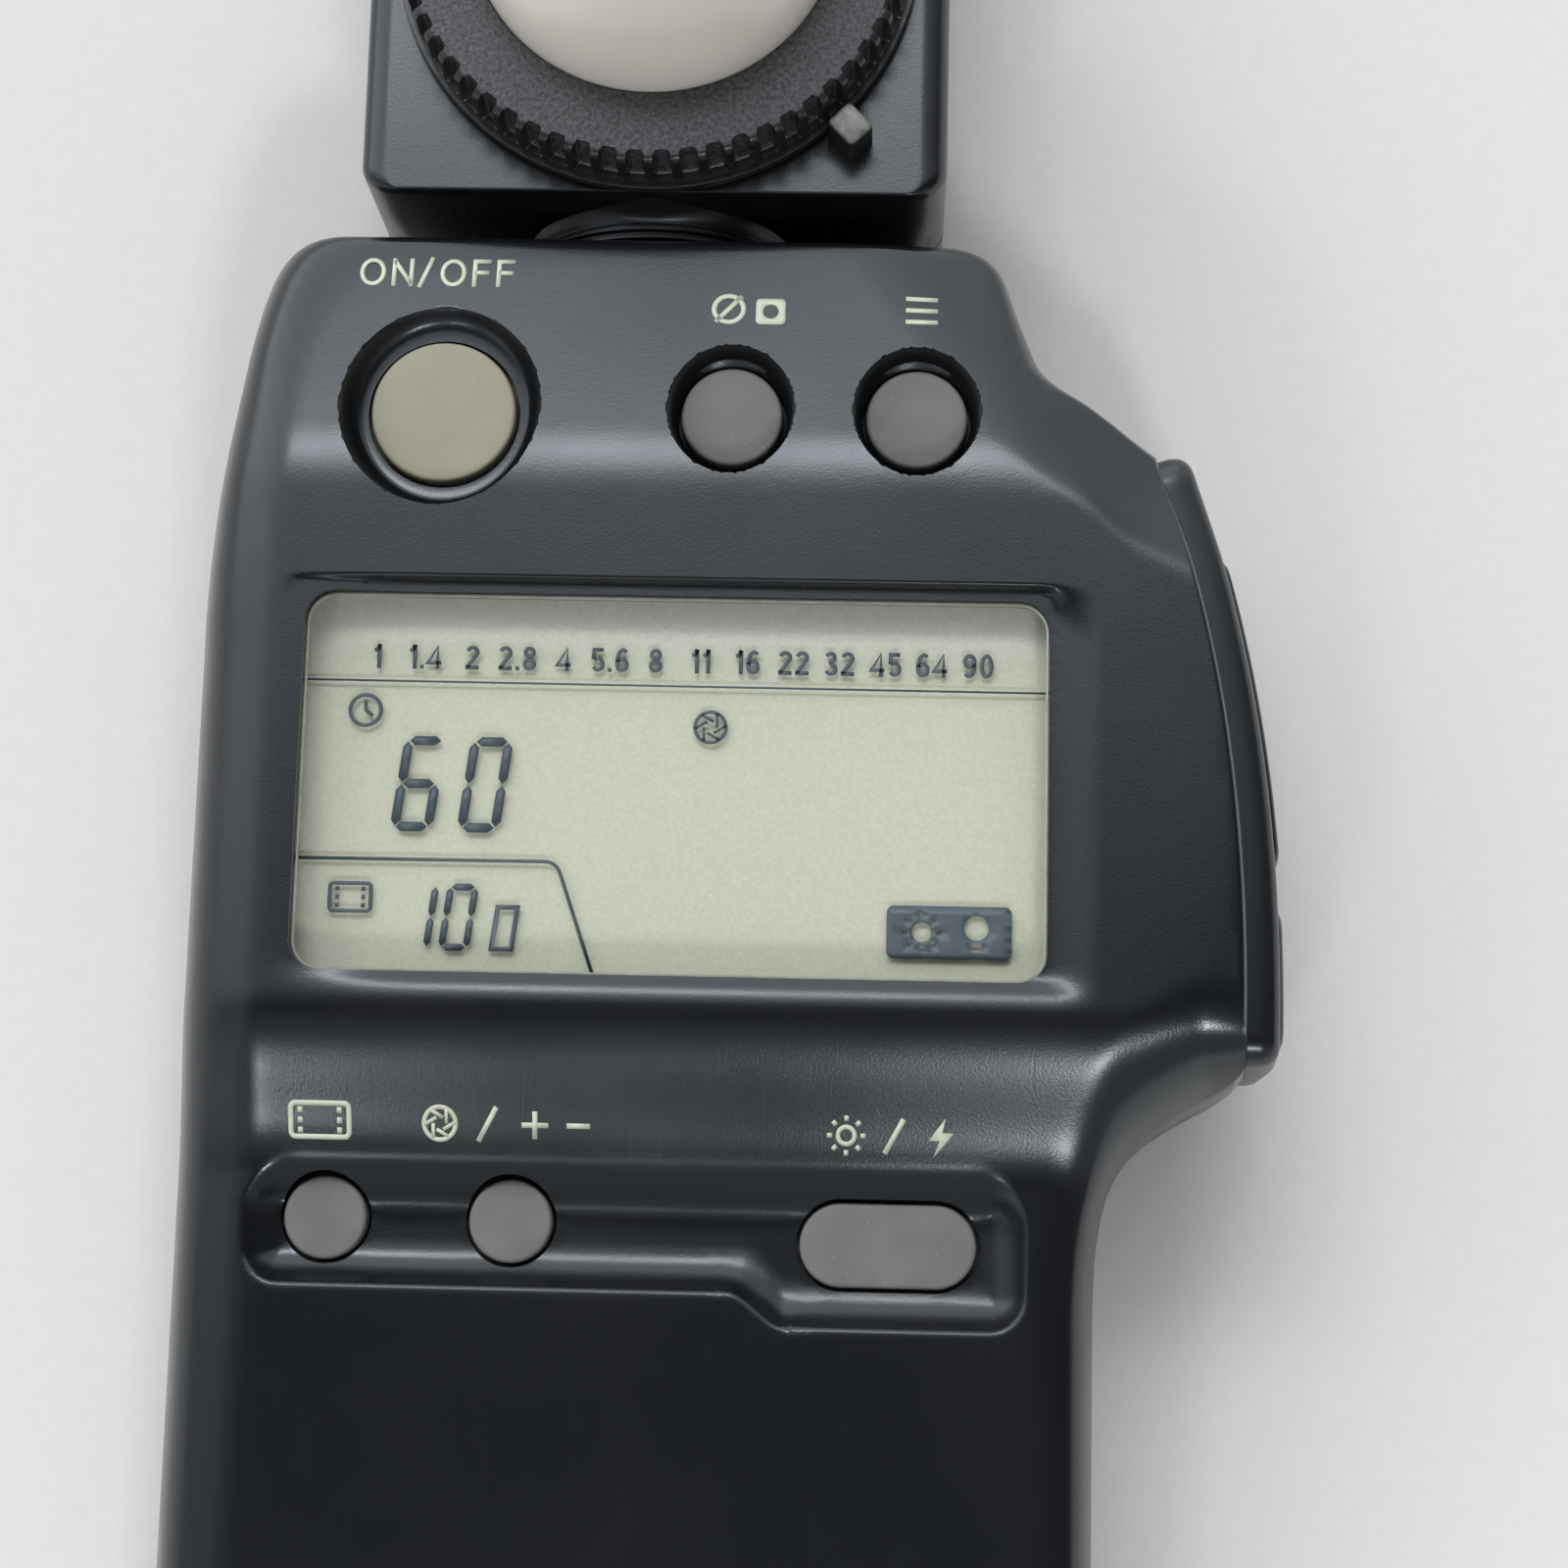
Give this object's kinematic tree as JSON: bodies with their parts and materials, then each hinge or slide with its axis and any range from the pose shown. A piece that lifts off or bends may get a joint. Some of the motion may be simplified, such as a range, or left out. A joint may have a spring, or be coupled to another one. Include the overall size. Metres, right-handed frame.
{
  "type": "handheld light meter",
  "caption": "Handheld light meter with a turning sensor head, diffuser dome on a knurled ring, display, face keys, side rocker, measuring button and sliding battery door.",
  "frame": {"origin": "middle of the meter's length and width, on the plane of its back", "axes": "+Z out of the display, +Y towards the sensor head, +X towards the side keys; the meter lies on its back"},
  "size_m": [0.069, 0.149, 0.0378],
  "materials": {
    "case": "blue-black moulded ABS, satin from handling, worn glossier on its ridges",
    "head": "black moulded ABS, smooth satin",
    "ring": "black moulded plastic with a coarse grain on the face",
    "dome": "milk-white diffusing acrylic, smooth",
    "power_key": "warm beige-grey moulded plastic, matt",
    "grey_keys": "mid grey moulded plastic, matt",
    "side_keys": "black moulded ABS, satin",
    "window": "clear acrylic plate, polished",
    "lcd": "reflective grey-green liquid crystal panel",
    "moulding": "black moulded plastic",
    "key_rubber": "black silicone rubber",
    "zebra": "layered carbon and silicone strip",
    "circuit_board": "green solder mask on glass epoxy",
    "chip": "black epoxy",
    "steel": "nickel-plated steel",
    "brass": "bare spring brass",
    "battery": null,
    "photocell": "silicon cell behind epoxy",
    "filter": "blue-green correction glass",
    "wire": "grey insulated wires in a sleeve",
    "plate": "blank satin plate"
  },
  "bodies": {
    "case": {"front_cover": "case", "rear_cover": "case", "display_window": "window", "lcd_panel": "lcd", "lcd_holder": "moulding", "zebra_connector_upper": "zebra", "zebra_connector_lower": "zebra", "main_board": "circuit_board", "processor_chip": "chip", "memory_chip": "chip", "clock_crystal": "steel", "buffer_capacitor": "chip", "key_mat_upper": "key_rubber", "key_mat_lower": "key_rubber", "key_mat_mode": "key_rubber", "board_screw_1": "steel", "board_screw_2": "steel", "case_screw_1": "steel", "case_screw_2": "steel", "case_screw_3": "steel", "case_screw_4": "steel", "side_panel": "side_keys", "side_switch_board": "circuit_board", "battery_cell": "battery", "positive_contact": "brass", "contact_spring": "steel", "sync_sleeve": "steel", "sync_insulator": "moulding", "sync_pin": "brass", "strap_pin": "steel", "rating_plate": "plate", "neck_collar": "ring", "detent_spring": "brass", "detent_ball": "steel", "sensor_wire": "wire"},
    "head": {"head_front_shell": "head", "head_rear_shell": "head", "neck_tube": "ring", "retaining_clip": "steel", "bayonet_socket": "moulding", "index_lug": "ring", "cell_cup": "moulding", "filter_glass": "filter", "photocell": "photocell", "head_board": "circuit_board", "head_screw_1": "steel", "head_screw_2": "steel"},
    "diffuser": {"diffuser_ring": "ring", "diffuser_dome": "dome"},
    "power_key": {"power_button": "power_key"},
    "average_key": {"average_button": "grey_keys"},
    "memory_key": {"memory_button": "grey_keys"},
    "iso_key": {"iso_button": "grey_keys"},
    "aperture_key": {"aperture_button": "grey_keys"},
    "mode_key": {"mode_button": "grey_keys"},
    "rocker": {"up_down_rocker": "side_keys"},
    "measuring_key": {"measuring_button": "side_keys"},
    "door": {"battery_door": "case"}
  },
  "joints": [
    {"name": "head_turn", "type": "hinge", "parent": "case", "child": "head", "pos_m": [-0.0061, 0.0338, 0.01125], "axis": [0, 1, 0], "range_deg": [-90, 180]},
    {"name": "diffuser_turn", "type": "hinge", "parent": "head", "child": "diffuser", "pos_m": [-0.0061, 0.0527, 0.022], "axis": [0, 0, 1], "range_deg": [0, 35]},
    {"name": "power_press", "type": "slide", "parent": "case", "child": "power_key", "axis": [0, 0, -1], "range_m": [0, 0.0005], "stiffness_N_per_m": 400, "springref_m": -0.0005},
    {"name": "average_press", "type": "slide", "parent": "case", "child": "average_key", "axis": [0, 0, -1], "range_m": [0, 0.0005], "stiffness_N_per_m": 400, "springref_m": -0.0005},
    {"name": "memory_press", "type": "slide", "parent": "case", "child": "memory_key", "axis": [0, 0, -1], "range_m": [0, 0.0005], "stiffness_N_per_m": 400, "springref_m": -0.0005},
    {"name": "iso_press", "type": "slide", "parent": "case", "child": "iso_key", "axis": [0, 0, -1], "range_m": [0, 0.0005], "stiffness_N_per_m": 400, "springref_m": -0.0005},
    {"name": "aperture_press", "type": "slide", "parent": "case", "child": "aperture_key", "axis": [0, 0, -1], "range_m": [0, 0.0005], "stiffness_N_per_m": 400, "springref_m": -0.0005},
    {"name": "mode_press", "type": "slide", "parent": "case", "child": "mode_key", "axis": [0, 0, -1], "range_m": [0, 0.0005], "stiffness_N_per_m": 400, "springref_m": -0.0005},
    {"name": "rocker_tilt", "type": "hinge", "parent": "case", "child": "rocker", "pos_m": [0.0321, 0.0047, 0.0126], "axis": [0, 0, 1], "range_deg": [-2, 2], "stiffness_Nm_per_rad": 0.1},
    {"name": "measure_press", "type": "slide", "parent": "case", "child": "measuring_key", "axis": [-1, 0, 0], "range_m": [0, 0.0005], "stiffness_N_per_m": 400, "springref_m": -0.0005},
    {"name": "door_slide", "type": "slide", "parent": "case", "child": "door", "axis": [0, -1, 0], "range_m": [0, 0.059]}
  ]
}
